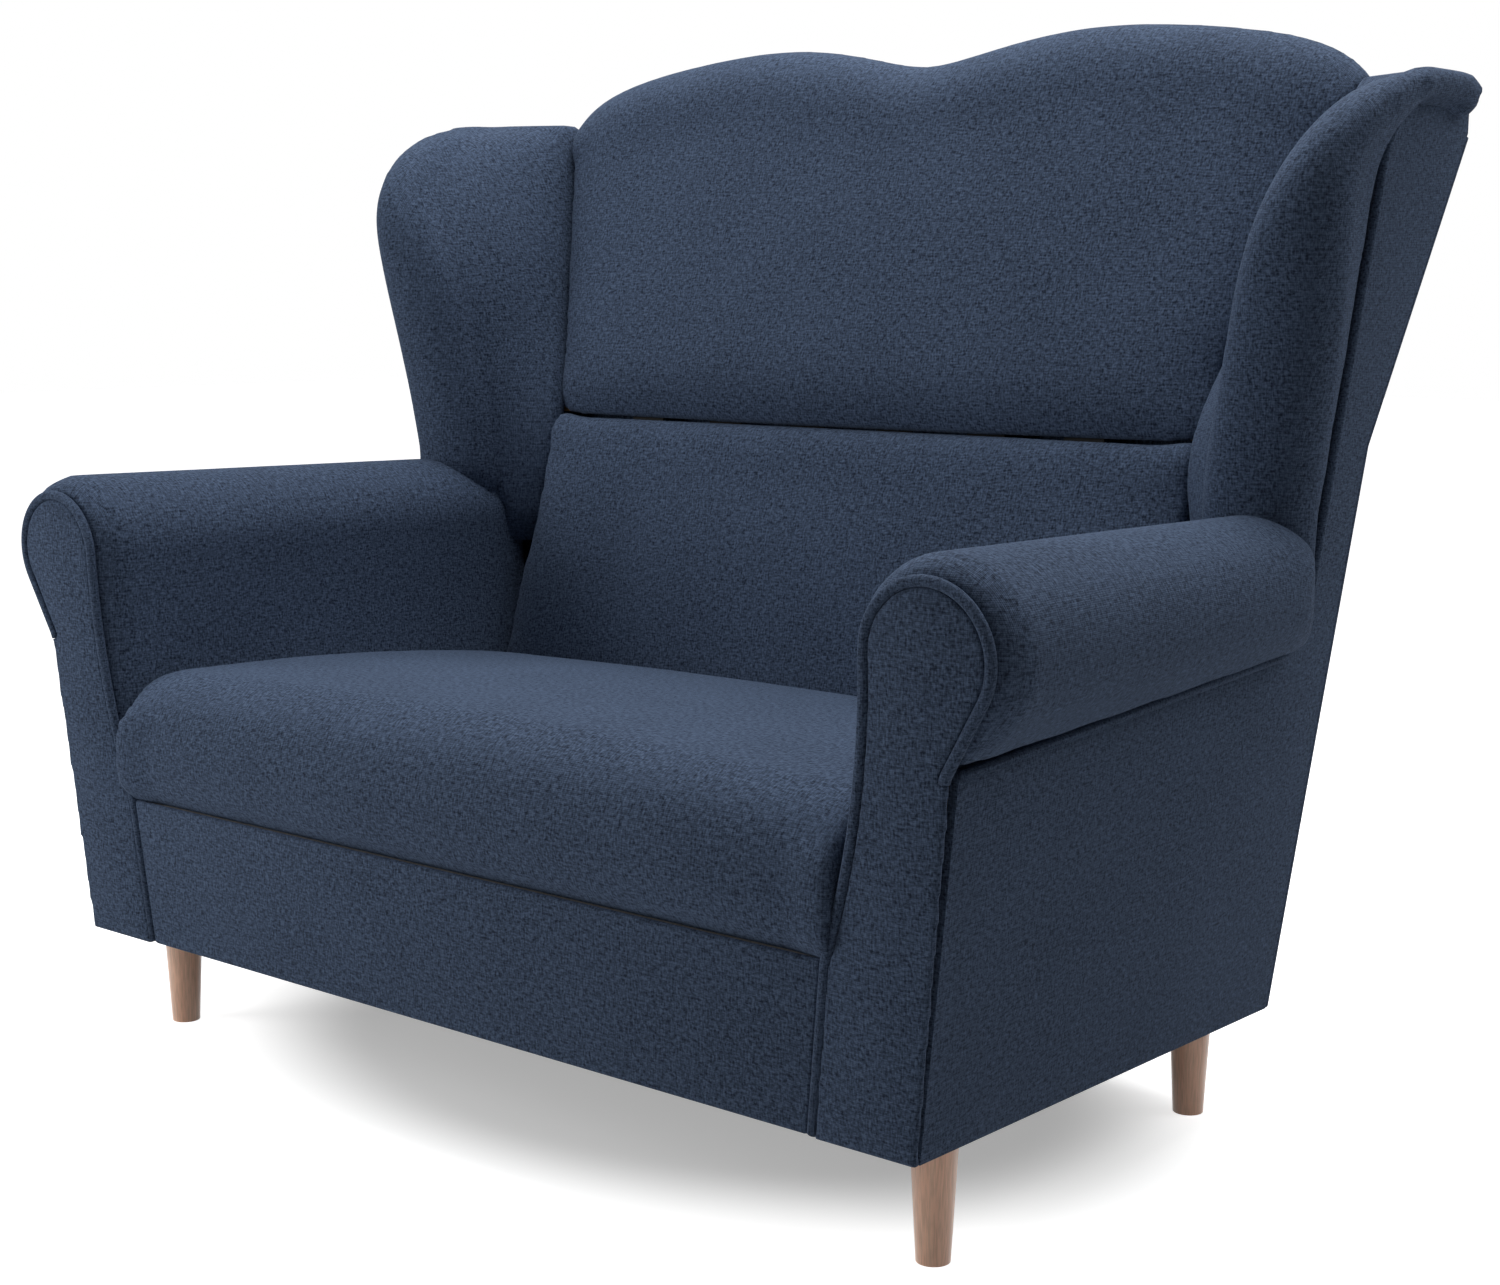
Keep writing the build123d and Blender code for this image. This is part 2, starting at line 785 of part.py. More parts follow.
def front_board(inset, floor, top, start, thickness):
    low = floor - leg_height
    high = top - leg_height
    face = polygon([
        (-inner_x(low) - inset, low),
        (inner_x(low) + inset, low),
        (inner_x(high) + inset, high),
        (-inner_x(high) - inset, high),
    ])
    return along_arm(face, start, thickness, Vector(0, 1, 0))


apron_top = seat_seam_height - clearance
pieces["front_apron"] = front_board(
    -clearance, timber_floor, apron_top, -apron_thickness, apron_thickness
)
pieces["front_rail"] = front_board(
    core_inset - clearance - side_taper * front_rail_thickness,
    timber_floor,
    spring_deck_height,
    0,
    front_rail_thickness,
)

# Rails of the base and back run between the posts

post_inner = board_depth + post_thickness + clearance


def between_posts(points):
    """A rail across the sofa, cut off on each side where the post begins."""
    rail = across(points, 0, reach)
    post_side = side_plane.offset(-post_inner) * Rectangle(8 * reach, 8 * reach)
    rail = rail - extrude(post_side, amount=reach)
    return rail + mirror(rail, about=Plane.YZ)


rail_near = back_board_thickness + clearance
rear_rail_top = timber_floor + rear_rail_depth
pieces["rear_rail"] = between_posts(rear_band(rail_near, frame_depth, timber_floor, rear_rail_top))
pieces["spring_rail"] = between_posts(
    rear_band(rail_near, frame_depth, spring_deck_height - spring_rail_depth, spring_deck_height)
)
pieces["back_middle_rail"] = between_posts(
    rear_band(rail_near, frame_depth, knee_height, knee_height + middle_rail_depth)
)
top_rail = between_posts(rear_band(rail_near, frame_depth, top_rail_floor_height, 2 * hump_height))
low_block = Pos(0, 0, post_top_height / 2) * Box(4 * reach, 4 * reach, post_top_height)
camel_half = crease_x(post_top_height) - 2 * pad_gap
pieces["back_top_rail"] = top_rail & (low_block + camel_block(camel_half, 0, top_rail_cover + 2 * clearance))

# Outside back: one bent panel with the camel top

back_board = across(rear_band(0, back_board_thickness, panel_rear_floor, 2 * hump_height), 0, reach)
back_board = back_board - extrude(side_plane * Rectangle(8 * reach, 8 * reach), amount=reach)
back_board = back_board + mirror(back_board, about=Plane.YZ)
nape_drop = upper_nape_share * upper_pad_thickness
side_shoulder = polygon([
    (-reach, 0), (reach, 0), (reach, post_top_height), (-reach, post_top_height),
])
shoulder_block = extrude(Plane.XZ * side_shoulder, amount=reach, both=True)
pieces["outside_back"] = back_board & (shoulder_block + camel_block(shoulder_offset, 0, nape_drop))

# Elastic straps from the spring rail to the top rail, bent over the middle rail, between the springs

strap_points = rear_band(
    strap_depth, strap_depth + strap_thickness, spring_deck_height - spring_rail_depth, post_top_height
)
straps = []
for index in range(spring_count - 1):
    strap_x = (index - (spring_count - 2) / 2) * spring_spacing
    straps.append(across(strap_points, strap_x - strap_width / 2, strap_x + strap_width / 2))
pieces["back_straps"] = group(straps)

# Rails under each arm, the centre brace and the blocks that take the legs

def arm_rail(face_points, start, length):
    return along_arm(polygon(face_points), start, length)


seat_rail_in = core_inset
seat_rail_out = core_inset + seat_rail_thickness
side_rail_out = panel_thickness + clearance
side_rail_in = side_rail_out + side_rail_thickness
floor_v = timber_floor - leg_height
rail_start = behind_board
rail_end = rear_y(timber_floor) - frame_depth - clearance - facing_thickness
post_front = rear_y(timber_floor) - post_near - post_width - clearance - facing_thickness
front_rail_end = front_rail_thickness + clearance


def outer_x(height, inset):
    return base_half + side_flare * height - inset


deck_rail_v = spring_deck_height - leg_height
both_sides("seat_rail", arm_rail([
    (inner_x(floor_v) + seat_rail_in, floor_v),
    (inner_x(floor_v) + seat_rail_out, floor_v),
    (inner_x(deck_rail_v) + seat_rail_out, deck_rail_v),
    (inner_x(deck_rail_v) + seat_rail_in, deck_rail_v),
], front_rail_end, rail_end - front_rail_end))
side_rail_v = floor_v + side_rail_depth
both_sides("side_rail", arm_rail([
    (outer_x(floor_v, side_rail_in), floor_v),
    (outer_x(floor_v, side_rail_out), floor_v),
    (outer_x(side_rail_v, side_rail_out), side_rail_v),
    (outer_x(side_rail_v, side_rail_in), side_rail_v),
], rail_start, post_front - clearance - rail_start))

block_top_v = floor_v + corner_block_thickness
block_points = [
    (inner_x(floor_v) + seat_rail_out + clearance, floor_v),
    (outer_x(floor_v, side_rail_in + clearance), floor_v),
    (outer_x(block_top_v, side_rail_in + clearance), block_top_v),
    (inner_x(block_top_v) + seat_rail_out + clearance, block_top_v),
]
leg_x = (block_points[0][0] + block_points[1][0]) / 2
front_leg_y = front_leg_setback
rear_leg_y = base_depth - rear_leg_setback
leg_places = []
for side in (-1, 1):
    for y, offset_out in ((front_leg_y, front_leg_offset), (rear_leg_y, rear_leg_offset)):
        leg_places.append((side, Pos(side * (leg_x + offset_out - side_taper * y), y, 0)))

block_starts = (front_rail_end, post_front - 2 * clearance - corner_block_length)
barrel_hole = Cylinder(nut_barrel_diameter / 2 + clearance, 4 * leg_height)
blocks = []
for start in block_starts:
    block = arm_rail(block_points, start, corner_block_length)
    for side, place in leg_places:
        block = block - place * barrel_hole
    blocks += [block, mirror(block, about=Plane.YZ)]
pieces["corner_blocks"] = group(blocks)

brace_start = front_rail_end
pieces["centre_brace"] = along_arm(
    polygon([
        (-brace_width / 2, floor_v),
        (brace_width / 2, floor_v),
        (brace_width / 2, floor_v + brace_depth),
        (-brace_width / 2, floor_v + brace_depth),
    ]),
    brace_start,
    rail_end - brace_start,
    Vector(0, 1, 0),
)

# Dust cover stretched under the base, with holes for the leg bolts

cover_front = facing_thickness + clearance
cover_rear = rear_y(leg_height) - back_board_thickness - clearance
sheet = polygon([
    (-side_x(cover_front, leg_height) + board_depth, cover_front),
    (side_x(cover_front, leg_height) - board_depth, cover_front),
    (side_x(cover_rear, leg_height) - board_depth, cover_rear),
    (-side_x(cover_rear, leg_height) + board_depth, cover_rear),
])
dust_cover = Pos(0, 0, leg_height) * extrude(sheet, amount=dust_cover_thickness)
for side, place in leg_places:
    dust_cover = dust_cover - place * barrel_hole
pieces["dust_cover"] = dust_cover

# Legs with hanger bolts, tee nuts in the corner blocks and felt discs let into the feet

leg_profile = make_face(Polyline(
    (0, 0),
    (leg_foot_diameter / 2, 0),
    (leg_top_diameter / 2, leg_height),
    (0, leg_height),
    close=True,
))
leg = revolve(Plane.XZ * leg_profile, Axis.Z)
bolt_bore = Cylinder(bolt_diameter / 2 + clearance / 2, 2 * (bolt_in_leg + clearance))
felt_recess = Cylinder(foot_felt_diameter / 2 + clearance / 2, 2 * (foot_felt_thickness + clearance / 2))
leg = leg - Pos(0, 0, leg_height) * bolt_bore - felt_recess
bolt = Pos(0, 0, leg_height - bolt_in_leg + bolt_length / 2) * Cylinder(bolt_diameter / 2, bolt_length)
felt = Pos(0, 0, foot_felt_thickness / 2) * Cylinder(foot_felt_diameter / 2, foot_felt_thickness)
block_top = timber_floor + corner_block_thickness
nut = Pos(0, 0, block_top - nut_barrel_length / 2) * Cylinder(nut_barrel_diameter / 2, nut_barrel_length)
nut += Pos(0, 0, block_top + nut_flange_thickness / 2) * Cylinder(nut_flange_diameter / 2, nut_flange_thickness)
nut -= Pos(0, 0, block_top) * Cylinder(bolt_diameter / 2 + clearance / 2, 4 * nut_barrel_length)

for side, place in leg_places:
    end = "front" if place.position.Y == front_leg_y else "rear"
    hand = "right" if side > 0 else "left"
    pieces[f"leg_{end}_{hand}"] = place * leg
pieces["leg_bolts"] = group([place * bolt for side, place in leg_places])
pieces["leg_tee_nuts"] = group([place * nut for side, place in leg_places])
pieces["foot_felts"] = group([place * felt for side, place in leg_places])

# Sinuous springs from the front rail to the spring rail, held by clips, with a felt over them

spring_front = facing_thickness + front_rail_thickness / 2 - front_lean * (spring_deck_height - leg_height)
spring_rear = rear_y(spring_deck_height) - rail_near - rail_thickness / 2
wave_count = int((spring_rear - spring_front) / spring_pitch)
pitch = (spring_rear - spring_front) / wave_count
bend = pitch / 2
wire_z = spring_deck_height + spring_wire / 2 + clearance


def spring_wave():
    bars = Sketch()
    half = spring_width / 2 - bend
    for index in range(wave_count + 1):
        bars += Pos(0, index * pitch) * Rectangle(2 * half, spring_wire)
    for index in range(wave_count):
        side = 1 if index % 2 == 0 else -1
        ring = Circle(bend + spring_wire / 2) - Circle(bend - spring_wire / 2)
        ring -= Pos(-side * reach, 0) * Rectangle(2 * reach, 2 * reach)
        bars += Pos(side * half, (index + 0.5) * pitch) * ring
    return bars


wave = extrude(spring_wave(), amount=spring_wire)
clip_height = spring_wire + 2 * clearance + spring_clip_wall
clip = Pos(0, 0, clip_height / 2) * Box(spring_clip_width, spring_clip_length, clip_height)
clip -= Pos(0, 0, (clip_height - spring_clip_wall) / 2) * Box(
    2 * spring_clip_width, spring_clip_length - 2 * spring_clip_wall, clip_height - spring_clip_wall
)
springs = []
clips = []
for index in range(spring_count):
    spring_x = (index - (spring_count - 1) / 2) * spring_spacing
    springs.append(Pos(spring_x, spring_front, wire_z - spring_wire / 2) * wave)
    for y in (spring_front, spring_rear):
        clips.append(Pos(spring_x, y, spring_deck_height) * clip)
pieces["seat_springs"] = group(springs)
pieces["spring_clips"] = group(clips)

felt_floor = spring_deck_height + clip_height + clearance
felt_front = facing_thickness
felt_rear = rear_y(spring_deck_height) - pad_depth - pad_gap


def felt_half(y):
    return seat_half - side_taper * y - 2 * pad_gap


seat_felt = polygon([
    (-felt_half(felt_front), felt_front),
    (felt_half(felt_front), felt_front),
    (felt_half(felt_rear), felt_rear),
    (-felt_half(felt_rear), felt_rear),
])
pieces["seat_felt"] = Pos(0, 0, felt_floor) * extrude(seat_felt, amount=felt_thickness)

# The origin is on the floor under the middle of the whole sofa

boxes = [piece.bounding_box() for piece in pieces.values()]
middle_y = (min(box.min.Y for box in boxes) + max(box.max.Y for box in boxes)) / 2
for name, piece in pieces.items():
    export_step(Pos(0, -middle_y, 0) * piece, f"parts/{name}.step")
print(len(pieces), "pieces, middle of the depth at", round(middle_y, 2))
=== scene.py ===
import json
from math import radians

import bpy
import numpy as np
from mathutils.bvhtree import BVHTree
from mathutils.kdtree import KDTree
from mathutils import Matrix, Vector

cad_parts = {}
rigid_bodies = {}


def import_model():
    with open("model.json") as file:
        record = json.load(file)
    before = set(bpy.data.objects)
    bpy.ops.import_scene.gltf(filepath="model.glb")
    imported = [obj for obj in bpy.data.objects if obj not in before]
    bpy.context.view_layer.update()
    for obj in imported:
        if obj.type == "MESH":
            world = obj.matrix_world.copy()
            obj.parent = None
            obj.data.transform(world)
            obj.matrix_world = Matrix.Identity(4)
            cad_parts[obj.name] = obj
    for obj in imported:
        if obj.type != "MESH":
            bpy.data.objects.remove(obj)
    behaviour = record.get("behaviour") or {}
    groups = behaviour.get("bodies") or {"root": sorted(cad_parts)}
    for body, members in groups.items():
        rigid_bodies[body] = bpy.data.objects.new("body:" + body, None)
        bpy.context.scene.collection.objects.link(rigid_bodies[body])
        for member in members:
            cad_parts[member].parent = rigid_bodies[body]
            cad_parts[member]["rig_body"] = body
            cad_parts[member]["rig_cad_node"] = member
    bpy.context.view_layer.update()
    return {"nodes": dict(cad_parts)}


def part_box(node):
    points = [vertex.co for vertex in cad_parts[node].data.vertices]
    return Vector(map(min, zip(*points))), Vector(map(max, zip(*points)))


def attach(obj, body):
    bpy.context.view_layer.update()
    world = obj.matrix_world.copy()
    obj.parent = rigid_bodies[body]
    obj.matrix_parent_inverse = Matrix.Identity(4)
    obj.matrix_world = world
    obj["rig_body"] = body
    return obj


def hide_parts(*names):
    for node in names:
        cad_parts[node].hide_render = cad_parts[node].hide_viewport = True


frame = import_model()
nodes = frame["nodes"]

# Camera at the photograph's place: in front of the right arm, a little above the arms,
# looking down slightly across the seat.
bpy.ops.object.select_all(action="DESELECT")
bpy.ops.object.camera_add(
    location=(1.6833, -1.9257, 0.8365), rotation=(radians(90 - 8.52), 0, radians(40.42))
)
camera = bpy.context.object
camera.data.sensor_fit = "HORIZONTAL"
camera.data.sensor_width = 36
camera.data.lens = 57.04
bpy.context.scene.camera = camera
bpy.context.scene.view_settings.view_transform = "Standard"


# Frame timber. Posts, rails, braces and blocks are planed pine, glued and screwed together, the
# shaped arm fronts and wing boards are birch plywood, and the inner arm walls are thin hardboard.
def grain_group():
    """Wood grain along one axis: broad growth rings, fine pores and a slow change of tone."""
    group = bpy.data.node_groups.new("wood_grain", "ShaderNodeTree")
    for name, kind in (
        ("Place", "NodeSocketVector"),
        ("Early Wood", "NodeSocketColor"),
        ("Late Wood", "NodeSocketColor"),
        ("Ring Scale", "NodeSocketFloat"),
        ("Along X", "NodeSocketFloat"),
        ("Along Y", "NodeSocketFloat"),
        ("Along Z", "NodeSocketFloat"),
    ):
        group.interface.new_socket(name, in_out="INPUT", socket_type=kind)
    group.interface.new_socket("Color", in_out="OUTPUT", socket_type="NodeSocketColor")
    group.interface.new_socket("Roughness", in_out="OUTPUT", socket_type="NodeSocketFloat")
    group.interface.new_socket("Height", in_out="OUTPUT", socket_type="NodeSocketFloat")
    make = group.nodes.new
    link = group.links.new
    given = make("NodeGroupInput")
    result = make("NodeGroupOutput")
    stretch = make("ShaderNodeCombineXYZ")
    for axis in "XYZ":
        link(given.outputs["Along " + axis], stretch.inputs[axis])
    place = make("ShaderNodeVectorMath")
    place.operation = "MULTIPLY"
    link(given.outputs["Place"], place.inputs[0])
    link(stretch.outputs[0], place.inputs[1])
    rings = make("ShaderNodeTexNoise")
    rings.inputs["Detail"].default_value = 3
    rings.inputs["Roughness"].default_value = 0.55
    rings.inputs["Distortion"].default_value = 0.6
    link(place.outputs[0], rings.inputs["Vector"])
    link(given.outputs["Ring Scale"], rings.inputs["Scale"])
    finer = make("ShaderNodeMath")
    finer.operation = "MULTIPLY"
    finer.inputs[1].default_value = 7
    link(given.outputs["Ring Scale"], finer.inputs[0])
    pores = make("ShaderNodeTexNoise")
    pores.inputs["Detail"].default_value = 4
    link(place.outputs[0], pores.inputs["Vector"])
    link(finer.outputs[0], pores.inputs["Scale"])
    ring_mask = make("ShaderNodeMapRange")
    ring_mask.inputs["From Min"].default_value = 0.36
    ring_mask.inputs["From Max"].default_value = 0.66
    link(rings.outputs["Fac"], ring_mask.inputs["Value"])
    pore_mask = make("ShaderNodeMapRange")
    pore_mask.inputs["From Min"].default_value = 0.35
    pore_mask.inputs["From Max"].default_value = 0.6
    pore_mask.inputs["To Min"].default_value = 0.78
    pore_mask.inputs["To Max"].default_value = 1
    link(pores.outputs["Fac"], pore_mask.inputs["Value"])
    tone = make("ShaderNodeMix")
    tone.data_type = "RGBA"
    link(ring_mask.outputs["Result"], tone.inputs["Factor"])
    link(given.outputs["Early Wood"], tone.inputs["A"])
    link(given.outputs["Late Wood"], tone.inputs["B"])
    shade = make("ShaderNodeMix")
    shade.data_type = "RGBA"
    shade.blend_type = "MULTIPLY"
    shade.inputs["Factor"].default_value = 1
    link(tone.outputs["Result"], shade.inputs["A"])
    link(pore_mask.outputs["Result"], shade.inputs["B"])
    link(shade.outputs["Result"], result.inputs["Color"])
    gloss = make("ShaderNodeMapRange")
    gloss.inputs["To Min"].default_value = 0.62
    gloss.inputs["To Max"].default_value = 0.42
    link(pores.outputs["Fac"], gloss.inputs["Value"])
    link(gloss.outputs["Result"], result.inputs["Roughness"])
    link(pores.outputs["Fac"], result.inputs["Height"])
    return group


wood_grain = grain_group()


def new_material(name):
    material = bpy.data.materials.new(name)
    material.use_nodes = True
    return material, material.node_tree.nodes, material.node_tree.links


def wood(name, early, late, ring_scale, along, lacquer=0):
    """A timber finish; along is how fast the grain changes in X, Y and Z."""
    material, made, links = new_material(name)
    surface = made["Principled BSDF"]
    surface.inputs["Coat Weight"].default_value = lacquer
    surface.inputs["Coat Roughness"].default_value = 0.3
    place = made.new("ShaderNodeTexCoord")
    grain = made.new("ShaderNodeGroup")
    grain.node_tree = wood_grain
    grain.inputs["Early Wood"].default_value = (*early, 1)
    grain.inputs["Late Wood"].default_value = (*late, 1)
    grain.inputs["Ring Scale"].default_value = ring_scale
    for axis, rate in zip("XYZ", along):
        grain.inputs["Along " + axis].default_value = rate
    links.new(place.outputs["Object"], grain.inputs["Place"])
    links.new(grain.outputs["Color"], surface.inputs["Base Color"])
    links.new(grain.outputs["Roughness"], surface.inputs["Roughness"])
    relief = made.new("ShaderNodeBump")
    relief.inputs["Strength"].default_value = 0.25
    relief.inputs["Distance"].default_value = 0.0004
    links.new(grain.outputs["Height"], relief.inputs["Height"])
    links.new(relief.outputs["Normal"], surface.inputs["Normal"])
    return material


def finish_nodes(material, names):
    for name in names:
        nodes[name].data.materials.clear()
        nodes[name].data.materials.append(material)


pine_across = wood("pine_across", (0.62, 0.43, 0.24), (0.46, 0.28, 0.13), 60, (0.06, 1, 1))
pine_upright = wood("pine_upright", (0.62, 0.43, 0.24), (0.46, 0.28, 0.13), 60, (1, 1, 0.06))
pine_deep = wood("pine_deep", (0.62, 0.43, 0.24), (0.46, 0.28, 0.13), 60, (1, 0.06, 1))
birch_ply = wood("birch_ply", (0.68, 0.53, 0.36), (0.56, 0.4, 0.24), 40, (1, 0.5, 0.08))
hardboard = wood("hardboard", (0.3, 0.18, 0.09), (0.22, 0.12, 0.06), 300, (1, 1, 1))
sides = ("left", "right")
finish_nodes(pine_across, [
    "front_rail", "rear_rail", "spring_rail", "back_middle_rail", "back_top_rail", "corner_blocks"
])
finish_nodes(pine_upright, ["back_post_" + side for side in sides])
finish_nodes(pine_deep, ["centre_brace"] + [
    rail + side for rail in ("seat_rail_", "side_rail_", "arm_roll_rail_") for side in sides
])
finish_nodes(birch_ply, [
    board + side for board in ("arm_front_board_", "wing_board_") for side in sides
])
finish_nodes(hardboard, ["arm_inner_panel_" + side for side in sides])


# Springs and fixings. Sinuous springs of drawn wire in pressed clips carry the seat, and M8
# hanger bolts hold the legs in tee nuts; all of it is steel, zinc plated or drawn bright.
steel, made, links = new_material("zinc_steel")
steel_surface = made["Principled BSDF"]
steel_surface.inputs["Metallic"].default_value = 1
steel_surface.inputs["Base Color"].default_value = (0.6, 0.61, 0.63, 1)
steel_place = made.new("ShaderNodeTexCoord")
steel_drawn = made.new("ShaderNodeTexNoise")
steel_drawn.inputs["Scale"].default_value = 420
steel_drawn.inputs["Detail"].default_value = 3
links.new(steel_place.outputs["Object"], steel_drawn.inputs["Vector"])
steel_gloss = made.new("ShaderNodeMapRange")
steel_gloss.inputs["To Min"].default_value = 0.26
steel_gloss.inputs["To Max"].default_value = 0.48
links.new(steel_drawn.outputs["Fac"], steel_gloss.inputs["Value"])
links.new(steel_gloss.outputs["Result"], steel_surface.inputs["Roughness"])
finish_nodes(steel, ["seat_springs", "spring_clips", "leg_bolts", "leg_tee_nuts"])


# Felt, webbing and lining. Grey felt lies over the springs and under the feet, black elastic
# straps cross the back, and black non-woven cloth closes the base.
def fibre_cloth(name, colour, light, scale):
    """Matted fibres: two tones of tangled fine noise with a soft raised nap."""
    material, made, links = new_material(name)
    surface = made["Principled BSDF"]
    surface.inputs["Roughness"].default_value = 0.95
    surface.inputs["Specular IOR Level"].default_value = 0.2
    place = made.new("ShaderNodeTexCoord")
    tangle = made.new("ShaderNodeTexNoise")
    tangle.inputs["Scale"].default_value = scale
    tangle.inputs["Detail"].default_value = 5
    tangle.inputs["Distortion"].default_value = 1.2
    links.new(place.outputs["Object"], tangle.inputs["Vector"])
    tone = made.new("ShaderNodeMix")
    tone.data_type = "RGBA"
    tone.inputs["A"].default_value = (*colour, 1)
    tone.inputs["B"].default_value = (*light, 1)
    links.new(tangle.outputs["Fac"], tone.inputs["Factor"])
    links.new(tone.outputs["Result"], surface.inputs["Base Color"])
    nap = made.new("ShaderNodeBump")
    nap.inputs["Strength"].default_value = 0.4
    nap.inputs["Distance"].default_value = 0.0006
    links.new(tangle.outputs["Fac"], nap.inputs["Height"])
    links.new(nap.outputs["Normal"], surface.inputs["Normal"])
    return material


grey_felt = fibre_cloth("grey_felt", (0.2, 0.19, 0.185), (0.42, 0.41, 0.4), 900)
black_webbing = fibre_cloth("black_webbing", (0.02, 0.02, 0.02), (0.06, 0.06, 0.06), 700)
black_lining = fibre_cloth("black_lining", (0.012, 0.012, 0.013), (0.035, 0.035, 0.037), 1100)
finish_nodes(grey_felt, ["seat_felt", "foot_felts"])
finish_nodes(black_webbing, ["back_straps"])


# Seat. One foam block over the springs, crowned on top and round at the front, under a navy
# melange cover that is drawn tight and sewn to the apron along the seam at the front.
def weave_group():
    """Plain weave of slubby two-tone yarn with painted shade between the threads, laid on a piece by
    the way its surface faces.
    """
    group = bpy.data.node_groups.new("melange_weave", "ShaderNodeTree")
    for name, kind in (
        ("Place", "NodeSocketVector"),
        ("Facing", "NodeSocketVector"),
        ("Dark Yarn", "NodeSocketColor"),
        ("Light Yarn", "NodeSocketColor"),
        ("Threads", "NodeSocketFloat"),
    ):
        group.interface.new_socket(name, in_out="INPUT", socket_type=kind)
    group.interface.new_socket("Color", in_out="OUTPUT", socket_type="NodeSocketColor")
    group.interface.new_socket("Roughness", in_out="OUTPUT", socket_type="NodeSocketFloat")
    group.interface.new_socket("Height", in_out="OUTPUT", socket_type="NodeSocketFloat")
    make = group.nodes.new
    link = group.links.new
    given = make("NodeGroupInput")
    result = make("NodeGroupOutput")

    def math(operation, first, second=None):
        node = make("ShaderNodeMath")
        node.operation = operation
        for socket, value in zip(node.inputs, (first, second)):
            if value is None:
                continue
            if isinstance(value, (int, float)):
                socket.default_value = value
            else:
                link(value, socket)
        return node.outputs[0]

    place = make("ShaderNodeSeparateXYZ")
    link(given.outputs["Place"], place.inputs[0])
    facing = make("ShaderNodeSeparateXYZ")
    link(given.outputs["Facing"], facing.inputs[0])
    shares = [math("POWER", math("ABSOLUTE", facing.outputs[axis]), 6) for axis in "XYZ"]
    total = math("ADD", math("ADD", shares[0], shares[1]), math("ADD", shares[2], 0.0001))
    heights = []
    slubs = []
    for share, (first, second) in zip(shares, ("YZ", "XZ", "XY")):
        across = math("MULTIPLY", place.outputs[first], given.outputs["Threads"])
        along = math("MULTIPLY", place.outputs[second], given.outputs["Threads"])
        turns = math("MULTIPLY", math("SINE", math("MULTIPLY", across, 3.1416)),
                     math("SINE", math("MULTIPLY", along, 3.1416)))
        heights.append(math("MULTIPLY", share, math("ABSOLUTE", turns)))
        flat = make("ShaderNodeCombineXYZ")
        link(across, flat.inputs["X"])
        link(math("MULTIPLY", along, 0.3), flat.inputs["Y"])
        warp = make("ShaderNodeTexNoise")
        warp.inputs["Scale"].default_value = 0.8
        warp.inputs["Detail"].default_value = 2
        link(flat.outputs[0], warp.inputs["Vector"])
        level = make("ShaderNodeCombineXYZ")
        link(math("MULTIPLY", across, 0.3), level.inputs["X"])
        link(along, level.inputs["Y"])
        weft = make("ShaderNodeTexNoise")
        weft.inputs["Scale"].default_value = 0.75
        weft.inputs["Detail"].default_value = 2
        link(level.outputs[0], weft.inputs["Vector"])
        both = math("MULTIPLY", math("ADD", warp.outputs["Fac"], weft.outputs["Fac"]), 0.5)
        slubs.append(math("MULTIPLY", share, both))

    def mixed(parts):
        return math("DIVIDE", math("ADD", math("ADD", parts[0], parts[1]), parts[2]), total)

    height = mixed(heights)
    slub = mixed(slubs)
    fuzz = make("ShaderNodeTexNoise")
    fuzz.inputs["Scale"].default_value = 420
    fuzz.inputs["Detail"].default_value = 3
    link(given.outputs["Place"], fuzz.inputs["Vector"])
    wear = make("ShaderNodeTexNoise")
    wear.inputs["Scale"].default_value = 9
    wear.inputs["Detail"].default_value = 3
    link(given.outputs["Place"], wear.inputs["Vector"])
    speck = math("ADD", math("MULTIPLY", slub, 0.72), math("MULTIPLY", fuzz.outputs["Fac"], 0.28))
    mask = make("ShaderNodeMapRange")
    mask.inputs["From Min"].default_value = 0.39
    mask.inputs["From Max"].default_value = 0.61
    link(math("ADD", speck, math("MULTIPLY", math("SUBTRACT", wear.outputs["Fac"], 0.5), 0.05)),
         mask.inputs["Value"])
    tone = make("ShaderNodeMix")
    tone.data_type = "RGBA"
    link(mask.outputs["Result"], tone.inputs["Factor"])
    link(given.outputs["Dark Yarn"], tone.inputs["A"])
    link(given.outputs["Light Yarn"], tone.inputs["B"])
    # Painted shade: the yarn colour is darkened down to 0.72 where the weave is low, between the
    # threads.
    gap_painted_shade = make("ShaderNodeMapRange")
    gap_painted_shade.inputs["From Max"].default_value = 0.5
    gap_painted_shade.inputs["To Min"].default_value = 0.72
    gap_painted_shade.inputs["To Max"].default_value = 1
    link(height, gap_painted_shade.inputs["Value"])
    shade = make("ShaderNodeMix")
    shade.data_type = "RGBA"
    shade.blend_type = "MULTIPLY"
    shade.inputs["Factor"].default_value = 1
    link(tone.outputs["Result"], shade.inputs["A"])
    link(gap_painted_shade.outputs["Result"], shade.inputs["B"])
    link(shade.outputs["Result"], result.inputs["Color"])
    link(math("ADD", 0.78, math("MULTIPLY", fuzz.outputs["Fac"], 0.2)), result.inputs["Roughness"])
    link(math("ADD", height, math("MULTIPLY", fuzz.outputs["Fac"], 0.8)), result.inputs["Height"])
    return group


melange_weave = weave_group()


